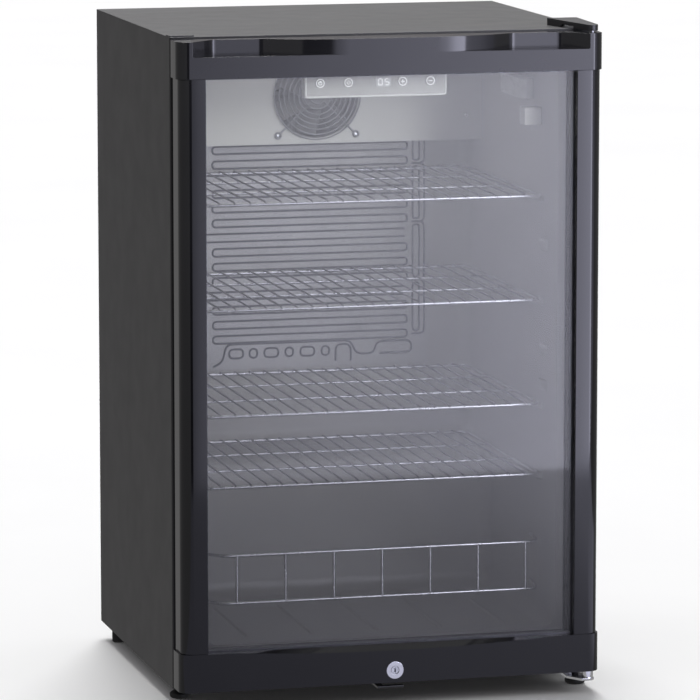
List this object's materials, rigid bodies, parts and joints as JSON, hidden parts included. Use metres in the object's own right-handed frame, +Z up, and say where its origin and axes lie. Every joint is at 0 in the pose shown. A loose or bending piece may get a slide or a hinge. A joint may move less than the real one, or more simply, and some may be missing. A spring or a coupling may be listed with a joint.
{
  "type": "glass door merchandiser",
  "caption": "Under-counter drinks cooler: black cabinet with one framed glass door, wire shelves, fan-cooled interior and a rear machine bay.",
  "frame": {"origin": "middle of the footprint on the floor plane", "axes": "+Z up, the door faces -Y, +X to the right of someone facing the door"},
  "size_m": [0.545, 0.5, 0.8491],
  "materials": {
    "black_paint": "satin",
    "gloss_black": "gloss",
    "white_abs": "satin",
    "foam": "matte",
    "aluminium": "satin",
    "chrome": "polished",
    "zinc_steel": "satin",
    "copper": "satin",
    "rubber": "matte",
    "black_abs": "satin",
    "machinery": "satin",
    "lamp": "satin",
    "pane": "gloss"
  },
  "bodies": {
    "cabinet": {"side_panel_left": "black_paint", "side_panel_right": "black_paint", "top_panel": "black_paint", "rear_panel": "black_paint", "rear_grille": "black_paint", "lock_strike": "black_paint", "compressor": "machinery", "condenser_coil": "machinery", "base_pan": "zinc_steel", "machine_bay_wall": "zinc_steel", "compressor_bracket": "zinc_steel", "top_hinge_bracket": "zinc_steel", "inner_liner": "white_abs", "fan_panel": "white_abs", "control_housing": "white_abs", "control_fascia": "white_abs", "sensor_cover": "white_abs", "insulation_shell": "foam", "insulation_floor": "foam", "insulation_hump": "foam", "fan_housing": "black_abs", "hinge_cover": "black_abs", "hinge_blank_cap": "black_abs", "relay_box": "black_abs", "evaporation_tray": "black_abs", "fan_guard": "chrome", "wire_shelf_1": "chrome", "wire_shelf_2": "chrome", "wire_shelf_3": "chrome", "wire_shelf_4": "chrome", "front_guard": "chrome", "guard_hook_left": "chrome", "guard_hook_right": "chrome", "bottom_hinge_bracket": "chrome", "evaporator_plate": "aluminium", "led_lamp": "lamp", "display_window": "gloss_black", "discharge_pipe": "copper", "suction_pipe": "copper", "filter_drier": "copper", "foot_rear_left": "rubber", "foot_rear_right": "rubber"},
    "door": {"top_rail": "gloss_black", "bottom_rail": "gloss_black", "stile_left": "gloss_black", "stile_right": "gloss_black", "outer_glass": "pane", "inner_glass": "pane", "glass_spacer": "aluminium", "door_gasket": "rubber", "lock_barrel": "chrome"},
    "lock": {"lock_plug": "chrome", "lock_cam": "zinc_steel"},
    "fan": {"fan_rotor": "black_abs"},
    "button_1": {"button_1": "black_abs"},
    "button_2": {"button_2": "black_abs"},
    "button_3": {"button_3": "black_abs"},
    "button_4": {"button_4": "black_abs"},
    "foot_left": {"foot_front_left": "rubber"},
    "foot_right": {"foot_front_right": "rubber"}
  },
  "joints": [
    {"name": "door_hinge", "type": "hinge", "parent": "cabinet", "child": "door", "pos_m": [0.2625, -0.226, 0.43], "axis": [0, 0, 1], "range_deg": [0, 110]},
    {"name": "lock_turn", "type": "hinge", "parent": "door", "child": "lock", "pos_m": [0.0025, -0.235, 0.0435], "axis": [0, 1, 0], "range_deg": [0, 90]},
    {"name": "fan_spin", "type": "hinge", "parent": "cabinet", "child": "fan", "pos_m": [0, 0.15, 0.731], "axis": [0, 1, 0], "continuous": true},
    {"name": "button_1_press", "type": "slide", "parent": "cabinet", "child": "button_1", "axis": [0, 1, 0], "range_m": [0, 0.001], "stiffness_N_per_m": 400},
    {"name": "button_2_press", "type": "slide", "parent": "cabinet", "child": "button_2", "axis": [0, 1, 0], "range_m": [0, 0.001], "stiffness_N_per_m": 400},
    {"name": "button_3_press", "type": "slide", "parent": "cabinet", "child": "button_3", "axis": [0, 1, 0], "range_m": [0, 0.001], "stiffness_N_per_m": 400},
    {"name": "button_4_press", "type": "slide", "parent": "cabinet", "child": "button_4", "axis": [0, 1, 0], "range_m": [0, 0.001], "stiffness_N_per_m": 400},
    {"name": "foot_left_level", "type": "slide", "parent": "cabinet", "child": "foot_left", "axis": [0, 0, -1], "range_m": [0, 0.008]},
    {"name": "foot_right_level", "type": "slide", "parent": "cabinet", "child": "foot_right", "axis": [0, 0, -1], "range_m": [0, 0.008]}
  ]
}
